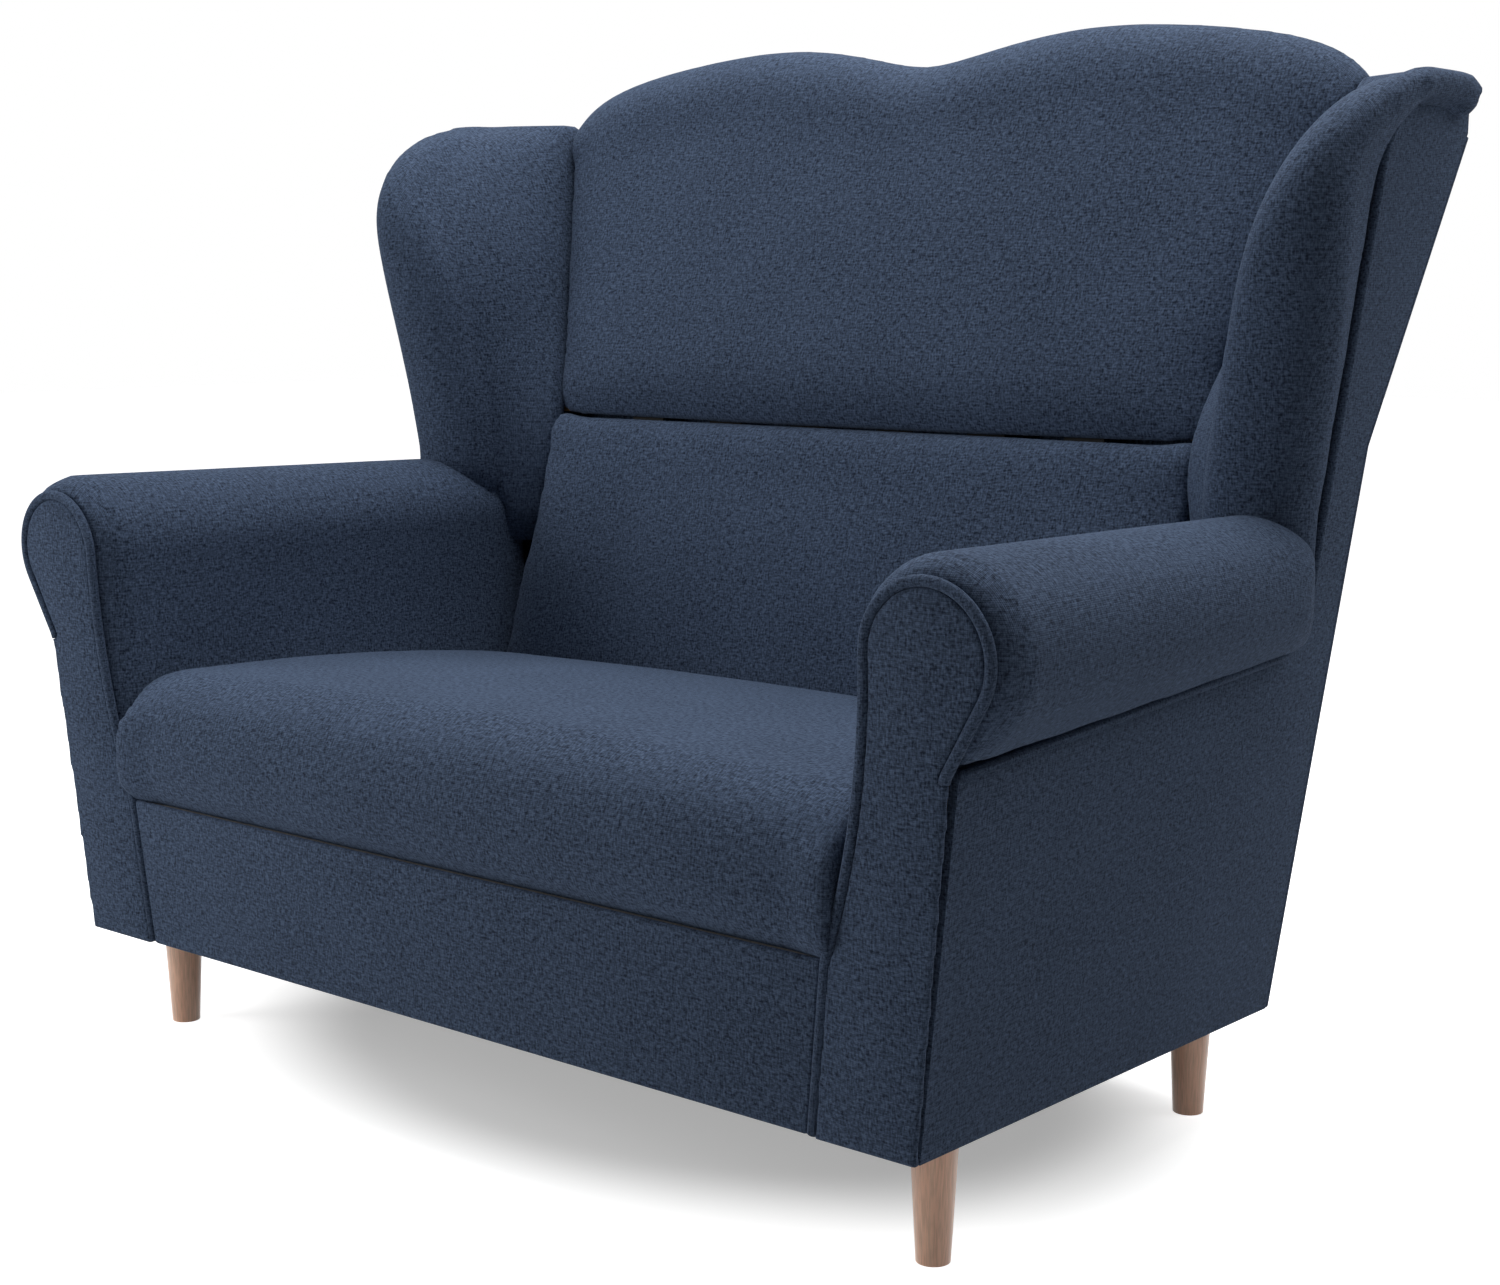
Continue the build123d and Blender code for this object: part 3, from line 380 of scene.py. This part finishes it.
def navy_cloth(name, threads=620):
    """The navy melange upholstery cloth; threads is the count in a metre."""
    material, made, links = new_material(name)
    surface = made["Principled BSDF"]
    surface.inputs["Specular IOR Level"].default_value = 0.08
    surface.inputs["Sheen Weight"].default_value = 0.12
    surface.inputs["Sheen Roughness"].default_value = 0.4
    surface.inputs["Sheen Tint"].default_value = (0.5, 0.65, 0.95, 1)
    place = made.new("ShaderNodeTexCoord")
    weave = made.new("ShaderNodeGroup")
    weave.node_tree = melange_weave
    weave.inputs["Dark Yarn"].default_value = (0.02, 0.029, 0.051, 1)
    weave.inputs["Light Yarn"].default_value = (0.118, 0.168, 0.27, 1)
    weave.inputs["Threads"].default_value = threads
    links.new(place.outputs["Object"], weave.inputs["Place"])
    links.new(place.outputs["Normal"], weave.inputs["Facing"])
    links.new(weave.outputs["Color"], surface.inputs["Base Color"])
    links.new(weave.outputs["Roughness"], surface.inputs["Roughness"])
    relief = made.new("ShaderNodeBump")
    relief.inputs["Strength"].default_value = 0.5
    relief.inputs["Distance"].default_value = 0.0007
    links.new(weave.outputs["Height"], relief.inputs["Height"])
    links.new(relief.outputs["Normal"], surface.inputs["Normal"])
    return material


cover_cloth = navy_cloth("cover_cloth")


def copy_of(name, node):
    """A loose copy of a CAD node, its triangles joined into one skin."""
    bpy.ops.object.select_all(action="DESELECT")
    nodes[node].select_set(True)
    bpy.context.view_layer.objects.active = nodes[node]
    bpy.ops.object.duplicate()
    piece = bpy.context.object
    piece.parent = None
    piece.name = name
    piece.data.name = name
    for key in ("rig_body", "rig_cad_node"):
        del piece[key]
    bpy.ops.object.mode_set(mode="EDIT")
    bpy.ops.mesh.select_all(action="SELECT")
    bpy.ops.mesh.remove_doubles(threshold=0.00002)
    bpy.ops.object.mode_set(mode="OBJECT")
    piece.data.materials.clear()
    return piece


def finish(piece, kind, **settings):
    """Add one modifier to the piece and apply it."""
    bpy.context.view_layer.objects.active = piece
    modifier = piece.modifiers.new(kind.lower(), kind)
    for key, value in settings.items():
        setattr(modifier, key, value)
    bpy.ops.object.modifier_apply(modifier=modifier.name)


def points_of(piece):
    flat = np.empty(len(piece.data.vertices) * 3)
    piece.data.vertices.foreach_get("co", flat)
    return flat.reshape(-1, 3)


def place_points(piece, points):
    piece.data.vertices.foreach_set("co", np.ascontiguousarray(points).ravel())
    piece.data.update()


def ramp(values, low, high):
    """From 0 at low to 1 at high, with soft ends."""
    share = np.clip((values - low) / (high - low), 0, 1)
    return share * share * (3 - 2 * share)


def turned_to(piece, direction):
    """How far each point of the piece faces the direction, from 0 to 1."""
    normals = np.empty(len(piece.data.vertices) * 3)
    piece.data.vertices.foreach_get("normal", normals)
    return ramp(normals.reshape(-1, 3) @ np.array(direction), 0.1, 0.6)


def draw_over(piece, cover):
    """Bring each point of a pad out along its normal to the outside of its cover."""
    tree = BVHTree.FromObject(nodes[cover], bpy.context.evaluated_depsgraph_get())
    places = [vertex.co.copy() for vertex in piece.data.vertices]
    for index, vertex in enumerate(piece.data.vertices):
        out = vertex.normal
        start = vertex.co - out * 0.004
        for wall in range(4):
            hit, facing, face, far = tree.ray_cast(start, out, 0.018)
            if hit is None:
                break
            if facing.dot(out) > 0:
                places[index] = hit
                break
            start = hit + out * 0.00005
    place_points(piece, np.array(places))


def pad_from(name, fill, cover, voxel=0.006, relax=4, settle=3):
    """A soft piece with the form of its filling, drawn out to the outside of its cover."""
    pad = copy_of(name, fill)
    finish(pad, "REMESH", mode="VOXEL", voxel_size=voxel, use_smooth_shade=True)
    finish(pad, "SMOOTH", factor=0.5, iterations=relax)
    draw_over(pad, cover)
    finish(pad, "SMOOTH", factor=0.5, iterations=settle)
    bpy.ops.object.shade_smooth()
    pad.data.materials.append(cover_cloth)
    return pad


def calm(piece, rounds):
    """Even out the front of a pad, away from its edges, as tight cloth over soft filling does."""
    normals = np.empty(len(piece.data.vertices) * 3)
    piece.data.vertices.foreach_get("normal", normals)
    turned = normals.reshape(-1, 3)[:, 1] > -0.35
    at = points_of(piece)
    edges = KDTree(int(turned.sum()))
    for index, place in enumerate(at[turned]):
        edges.insert(place, index)
    edges.balance()
    far = np.array([edges.find(place)[2] for place in at])
    share = 0.5 * ramp(far, 0.004, 0.045)[:, None]
    pairs = np.empty(len(piece.data.edges) * 2, int)
    piece.data.edges.foreach_get("vertices", pairs)
    first, second = pairs.reshape(-1, 2).T
    count = np.bincount(pairs, minlength=len(at))
    for step in range(rounds):
        mean = np.empty_like(at)
        for axis in range(3):
            mean[:, axis] = np.bincount(first, at[second, axis], len(at))
            mean[:, axis] += np.bincount(second, at[first, axis], len(at))
        at += share * (mean / count[:, None] - at)
    place_points(piece, at)


def puff(piece, held, pressure, cap, frames=12):
    """Blow the cover up from inside, held where it is sewn, and stop each point at the cap."""
    start = points_of(piece)
    pins = piece.vertex_groups.new(name="sewn")
    pins.add([int(i) for i in np.nonzero(held(start))[0]], 1, "REPLACE")
    cloth = piece.modifiers.new("puff", "CLOTH")
    cloth.settings.quality = 4
    cloth.settings.mass = 0.3
    cloth.settings.tension_stiffness = 18
    cloth.settings.compression_stiffness = 18
    cloth.settings.shear_stiffness = 8
    cloth.settings.bending_stiffness = 0.6
    cloth.settings.use_pressure = True
    cloth.settings.uniform_pressure_force = pressure
    cloth.settings.vertex_group_mass = pins.name
    cloth.settings.effector_weights.gravity = 0
    cloth.collision_settings.use_collision = False
    scene = bpy.context.scene
    cloth.point_cache.frame_start = 1
    cloth.point_cache.frame_end = frames
    for number in range(1, frames + 1):
        scene.frame_set(number)
    shaped = piece.evaluated_get(bpy.context.evaluated_depsgraph_get())
    flat = np.empty(len(start) * 3)
    shaped.data.vertices.foreach_get("co", flat)
    moved = flat.reshape(-1, 3) - start
    piece.modifiers.remove(cloth)
    piece.vertex_groups.remove(pins)
    scene.frame_set(1)
    length = np.linalg.norm(moved, axis=1, keepdims=True)
    moved = moved * np.minimum(1, cap / np.maximum(length, 1e-9))
    place_points(piece, start + moved)
    finish(piece, "SMOOTH", factor=0.5, iterations=2)


def dress(piece, fill, *replaced):
    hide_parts(*replaced)
    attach(piece, "root")


seat = pad_from("seat", "seat_foam", "seat_cover")
seat_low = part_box("seat_foam")[0]
seam_tuck = 0.009
corner_forward = 0.009
corner_out = 0.017
seam_drop = 0.002
puff(seat, lambda at: at[:, 2] < seat_low.z + 0.03, 4, 0.003)
at = points_of(seat)
front = 1 - ramp(at[:, 1], seat_low.y + 0.004, seat_low.y + 0.03)
corner = ramp(np.abs(at[:, 0]), 0.44, 0.48)
low = 1 - ramp(at[:, 2], 0.3, 0.42)
at[:, 1] += seam_tuck * front * (1 - ramp(at[:, 2], seat_low.z, seat_low.z + 0.02))
at[:, 1] -= corner_forward * front * corner * (1 - ramp(at[:, 2], 0.36, 0.42))
at[:, 0] += np.sign(at[:, 0]) * corner_out * front * corner * low
at[:, 2] -= seam_drop * (1 - ramp(at[:, 2], seat_low.z, seat_low.z + 0.012))
place_points(seat, at)
dress(seat, 0.8, "seat_foam", "seat_cover")


# Lumbar pad. A fibre-filled pad across the lower back, fullest just above the seat, with its
# cover sewn to the upper back along the deep crease between them.
lumbar = pad_from("lumbar_pad", "lumbar_padding", "lumbar_cover")
lumbar_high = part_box("lumbar_padding")[1]
puff(lumbar, lambda at: (at[:, 1] > lumbar_high.y - 0.03) | (at[:, 2] > lumbar_high.z - 0.04), 4, 0.003)
calm(lumbar, 60)
at = points_of(lumbar)
end = ramp(np.abs(at[:, 0]), 0.4, 0.46)
at[:, 2] += (0.0015 + 0.006 * end) * ramp(at[:, 2], lumbar_high.z - 0.03, lumbar_high.z)
at[:, 0] += np.sign(at[:, 0]) * 0.009 * end * ramp(at[:, 2], lumbar_high.z - 0.1, lumbar_high.z)
place_points(lumbar, at)
dress(lumbar, 0.8, "lumbar_padding", "lumbar_cover")


# Upper back. A thick pad from the lumbar crease to the camel top, with its sides tucked in
# against the wings; its cover goes on over the top rail as a wrap and is stapled behind.
upper_back = pad_from("upper_back", "back_upper_padding", "back_upper_cover")
upper_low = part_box("back_upper_padding")[0]


def sewn_edge(at):
    """The upper back's rear, and its foot at the crease."""
    rear = at[:, 1] > upper_low.y + 0.075 + (at[:, 2] - upper_low.z) * 0.4
    return rear | (at[:, 2] < upper_low.z + 0.04)


puff(upper_back, sewn_edge, 4, 0.003)
calm(upper_back, 90)
at = points_of(upper_back)
end = ramp(np.abs(at[:, 0]), 0.4, 0.46)
at[:, 2] -= (0.002 + 0.007 * end) * (1 - ramp(at[:, 2], upper_low.z, upper_low.z + 0.03))
at[:, 0] += np.sign(at[:, 0]) * 0.009 * end * (1 - ramp(at[:, 2], upper_low.z, upper_low.z + 0.1))
place_points(upper_back, at)
dress(upper_back, 0.7, "back_upper_padding", "back_upper_cover")
rail_wrap = copy_of("rail_wrap", "back_top_rail")
finish(rail_wrap, "DISPLACE", strength=0.0015, mid_level=0)
bpy.ops.object.shade_smooth_by_angle(angle=radians(40))
rail_wrap.data.materials.append(cover_cloth)
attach(rail_wrap, "root")


# Wings. Padded boards that lean out at the sides of the back, round at the nose and rolled
# outwards at the top; the cover ends in the welt on the outside. The foot goes on down into the
# arm, out of sight, and the rear of the rolled top reaches back over the post.
base_half = 0.576
side_flare = 0.114
side_taper = 0.025
leg_height = 0.12
front_y = -0.4187
roll_middle = 0.548
dome_start = 0.084
dome_end = 0.168
dome_share = 0.92
foot_drop = 0.03
foot_drop_outside = 0.027
foot_tuck = 0.014
lip_drop = 0.009
tip_out = 0.005
rear_drop = 0.012
rear_back = 0.01


def roll_end(at):
    """Plane of the outside panel, and how far the roll has rounded off towards its rear end."""
    panel_x = base_half + side_flare * (at[:, 2] - leg_height) - side_taper * (at[:, 1] - front_y)
    along = np.clip((at[:, 1] - dome_start) / (dome_end - dome_start), 0, 1)
    return panel_x, 1 - np.sqrt(1 - dome_share * along**2)


for side in sides:
    wing = pad_from("wing_" + side, "wing_padding_" + side, "wing_cover_" + side, 0.006, 3, 3)
    under = turned_to(wing, (0, 0, -1))
    behind = turned_to(wing, (0, 1, 0))
    at = points_of(wing)
    panel_x, rounded = roll_end(at)
    outer = ramp(np.abs(at[:, 0]), panel_x - 0.06, panel_x)
    foot = under * (1 - ramp(at[:, 2], 0.64, 0.7))
    lip = under * ramp(at[:, 2], 0.96, 1)
    at[:, 2] -= (foot_drop + foot_drop_outside * outer * rounded) * foot + lip_drop * lip
    at[:, 0] += np.sign(at[:, 0]) * foot_tuck * foot * (1 - outer)
    tip = ramp(at[:, 2], 0.96, 1) * ramp(np.abs(at[:, 0]), panel_x - 0.03, panel_x - 0.01)
    at[:, 0] += np.sign(at[:, 0]) * tip_out * tip
    at[:, 2] -= rear_drop * under * ramp(at[:, 2], 0.94, 0.97) * ramp(at[:, 1], 0.33, 0.36)
    at[:, 1] += rear_back * behind * ramp(at[:, 2], 0.94, 0.97)
    place_points(wing, at)
    curled = wing.vertex_groups.new(name="curled")
    curled.add([int(i) for i in np.nonzero(tip > 0.5)[0]], 1, "REPLACE")
    finish(wing, "SMOOTH", factor=0.5, iterations=14, vertex_group="curled")
    wing.vertex_groups.clear()
    finish(wing, "SMOOTH", factor=0.5, iterations=2)
    dress(wing, 0.8, "wing_padding_" + side, "wing_cover_" + side)


# Arms. Padded scroll arms: the cover rises from the seat, goes over the roll and ends under it
# at the welt. The padding swells behind the flat facing, and the roll ends in a dome at the wing.
for side in sides:
    arm = pad_from("arm_" + side, "arm_padding_" + side, "arm_cover_" + side, 0.006, 3, 2)
    at = points_of(arm)
    panel_x, rounded = roll_end(at)
    proud = np.maximum(np.abs(at[:, 0]) - panel_x, 0)
    outer = ramp(np.abs(at[:, 0]), panel_x - 0.06, panel_x + 0.01)
    at[:, 0] -= np.sign(at[:, 0]) * proud * rounded
    at[:, 2] -= 0.8 * outer * rounded * np.maximum(at[:, 2] - roll_middle, 0)
    place_points(arm, at)
    dress(arm, 0.8, "arm_padding_" + side, "arm_cover_" + side)


# Arm facings. A flat padded panel closes the front of each arm, covered in the same cloth and
# set into its welt; it stands a little proud in the middle.
for side in sides:
    facing = copy_of("facing_" + side, "arm_facing_" + side)
    finish(facing, "REMESH", mode="VOXEL", voxel_size=0.003, use_smooth_shade=True)
    finish(facing, "SMOOTH", factor=0.5, iterations=3)
    facing.data.materials.append(cover_cloth)
    rear_face = [vertex.normal.y > -0.6 for vertex in facing.data.vertices]
    puff(facing, lambda at: np.array(rear_face), 5, 0.004)
    bpy.ops.object.shade_smooth()
    dress(facing, 0.9, "arm_facing_" + side)


# Welts. Cord wrapped in bias strips of the cover cloth, sewn round the facings and along the
# edge of the outside panels. The outside welt lies 4 to 6 mm off its solid, so that it shows
# beside the wing and under the roll.
welt_out = 0.004
welt_back = 0.004
welt_drop = 0.006
welt_cloth = navy_cloth("welt_cloth", 900)
for side in sides:
    for node in ("facing_welt_", "outside_welt_"):
        welt = copy_of(node + "piping_" + side, node + side)
        finish(welt, "DISPLACE", strength=0.001, mid_level=0)
        if node == "outside_welt_":
            at = points_of(welt)
            at[:, 0] += np.sign(at[:, 0]) * welt_out
            at[:, 1] += welt_back * ramp(at[:, 2], 0.58, 0.64)
            at[:, 2] -= welt_drop * (1 - ramp(at[:, 2], 0.5, 0.58))
            place_points(welt, at)
        bpy.ops.object.shade_smooth_by_angle(angle=radians(50))
        welt.data.materials.append(welt_cloth)
        dress(welt, 0.9, node + side)


# Front apron and outside panels. Cloth drawn flat over board with a thin layer of wadding, folded
# round the edges, stapled under the base and sewn to the welts.
def drawn_board(name, node, rounding, front_reach=0):
    board = copy_of(name, node)
    bpy.ops.object.mode_set(mode="EDIT")
    bpy.ops.mesh.select_all(action="SELECT")
    bpy.ops.mesh.dissolve_limited(angle_limit=radians(0.5))
    bpy.ops.object.mode_set(mode="OBJECT")
    finish(board, "BEVEL", width=rounding, segments=3, limit_method="ANGLE", angle_limit=radians(35))
    finish(board, "TRIANGULATE")
    at = points_of(board)
    at[:, 1] -= front_reach * turned_to(board, (0, -1, 0))
    place_points(board, at)
    bpy.ops.object.shade_smooth_by_angle(angle=radians(40))
    board.data.materials.append(cover_cloth)
    dress(board, 0.9, node)


drawn_board("apron", "front_apron", 0.005)
for side in sides:
    drawn_board("outside_" + side, "outside_panel_" + side, 0.0025, 0.003)
drawn_board("outside_rear", "outside_back", 0.002)


# Dust cover. Black non-woven cloth stapled under the base and drawn tight from rail to rail, so
# that it hangs only a little in the middle; the leg bolts pass through it.
dust_low, dust_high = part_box("dust_cover")
dust_width = dust_high.x - dust_low.x
dust_depth = dust_high.y - dust_low.y
dust_rear_width = dust_width - 2 * side_taper * dust_depth
bpy.ops.object.select_all(action="DESELECT")
bpy.ops.mesh.primitive_grid_add(x_subdivisions=70, y_subdivisions=40, size=2)
dust_cover = bpy.context.object
dust_cover.name = "base_cloth"
dust_cover.data.name = "base_cloth"
at = points_of(dust_cover)
across = at[:, 0].copy()
deep = at[:, 1].copy()
half_width = (dust_width + (dust_rear_width - dust_width) * (deep + 1) / 2) / 2
sag = 0.0022 * (1 - across**2) ** 2 * (1 - deep**2) ** 2
at[:, 0] = across * half_width
at[:, 1] = (dust_low.y + dust_high.y) / 2 + deep * dust_depth / 2
at[:, 2] = dust_low.z + 0.0002 - sag
place_points(dust_cover, at)
finish(dust_cover, "SOLIDIFY", thickness=0.0005, offset=1)
bpy.ops.object.shade_smooth()
dust_cover.data.materials.append(black_lining)
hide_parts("dust_cover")
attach(dust_cover, "root")


# Legs. Turned tapered beech, pale and satin lacquered, standing on felt discs.
beech = wood("pale_beech", (0.96, 0.57, 0.38), (0.88, 0.48, 0.31), 90, (1, 1, 0.05), 0.9)
finish_nodes(beech, ["leg_" + end + "_" + side for end in ("front", "rear") for side in sides])


# Stage: a white floor that keeps the soft shadow and also carries painted shade under the sofa, a white
# surround and soft studio light.
bpy.ops.object.select_all(action="DESELECT")
bpy.ops.mesh.primitive_plane_add(size=30, location=(0, 0, 0))
floor = bpy.context.object
floor.name = "floor"
floor_paint, made, links = new_material("floor_white_painted_shade")
floor_surface = made["Principled BSDF"]
floor_surface.inputs["Roughness"].default_value = 0.9
floor_rays = made.new("ShaderNodeLightPath")
floor_seen = made.new("ShaderNodeMath")
floor_seen.operation = "MAXIMUM"
links.new(floor_rays.outputs["Is Camera Ray"], floor_seen.inputs[0])
links.new(floor_rays.outputs["Is Glossy Ray"], floor_seen.inputs[1])
floor_tone = made.new("ShaderNodeMix")
floor_tone.data_type = "RGBA"
floor_tone.inputs["A"].default_value = (0.6, 0.6, 0.6, 1)
floor_tone.inputs["B"].default_value = (0.8, 0.8, 0.8, 1)
links.new(floor_seen.outputs[0], floor_tone.inputs["Factor"])
links.new(floor_tone.outputs["Result"], floor_surface.inputs["Base Color"])
# Painted light and shade: the floor glows for the camera and in reflections. The glow is dim (0.36)
# over an oval round the sofa's footprint and rises to full white further out, which paints a shade
# under and around the sofa.
floor_place = made.new("ShaderNodeTexCoord")
floor_spread = made.new("ShaderNodeVectorMath")
floor_spread.operation = "MULTIPLY_ADD"
floor_spread.inputs[1].default_value = (1 / 0.62, 1 / 0.4, 0)
floor_spread.inputs[2].default_value = (0, 0.05 / 0.4, 0)
links.new(floor_place.outputs["Object"], floor_spread.inputs[0])
floor_far = made.new("ShaderNodeVectorMath")
floor_far.operation = "LENGTH"
links.new(floor_spread.outputs[0], floor_far.inputs[0])
floor_painted_shade_fade = made.new("ShaderNodeMapRange")
floor_painted_shade_fade.interpolation_type = "SMOOTHSTEP"
floor_painted_shade_fade.inputs["From Min"].default_value = 0.68
floor_painted_shade_fade.inputs["From Max"].default_value = 1.1
floor_painted_shade_fade.inputs["To Min"].default_value = 0.36
floor_painted_shade_fade.inputs["To Max"].default_value = 1
links.new(floor_far.outputs["Value"], floor_painted_shade_fade.inputs["Value"])
floor_painted_glow_level = made.new("ShaderNodeMath")
floor_painted_glow_level.operation = "MULTIPLY"
links.new(floor_seen.outputs[0], floor_painted_glow_level.inputs[0])
links.new(floor_painted_shade_fade.outputs["Result"], floor_painted_glow_level.inputs[1])
floor_painted_glow = made.new("ShaderNodeEmission")
floor_painted_glow.inputs["Color"].default_value = (1, 1, 1, 1)
links.new(floor_painted_glow_level.outputs[0], floor_painted_glow.inputs["Strength"])
floor_sum = made.new("ShaderNodeAddShader")
links.new(floor_surface.outputs[0], floor_sum.inputs[0])
links.new(floor_painted_glow.outputs[0], floor_sum.inputs[1])
links.new(floor_sum.outputs[0], made["Material Output"].inputs["Surface"])
floor.data.materials.append(floor_paint)

world = bpy.data.worlds.new("studio")
world.use_nodes = True
bpy.context.scene.world = world
sky = world.node_tree.nodes
background = sky["Background"]
rays = sky.new("ShaderNodeLightPath")
seen = sky.new("ShaderNodeMath")
seen.operation = "MAXIMUM"
world.node_tree.links.new(rays.outputs["Is Camera Ray"], seen.inputs[0])
shiny = sky.new("ShaderNodeMath")
shiny.operation = "MAXIMUM"
world.node_tree.links.new(rays.outputs["Is Glossy Ray"], shiny.inputs[0])
world.node_tree.links.new(rays.outputs["Is Transmission Ray"], shiny.inputs[1])
world.node_tree.links.new(shiny.outputs[0], seen.inputs[1])
level = sky.new("ShaderNodeMapRange")
level.inputs["To Min"].default_value = 0.05
level.inputs["To Max"].default_value = 1
world.node_tree.links.new(seen.outputs[0], level.inputs["Value"])
world.node_tree.links.new(level.outputs["Result"], background.inputs["Strength"])
background.inputs["Color"].default_value = (1, 1, 1, 1)


def softbox(name, location, aim, size, power):
    bpy.ops.object.light_add(type="AREA", location=location)
    lamp = bpy.context.object
    lamp.name = name
    lamp.data.size = size
    lamp.data.energy = power
    lamp.rotation_euler = (bpy.context.object.location - Vector(aim)).to_track_quat("Z", "Y").to_euler()


softbox("overhead", (0, 0.55, 3.1), (0, 0, 0.5), 2.4, 80)
softbox("left_front", (-1.8, -2.1, 1.2), (0, 0, 0.4), 1.3, 28)
softbox("right_high", (2.0, 1.4, 2.2), (0.6, 0, 0.7), 1.2, 14)
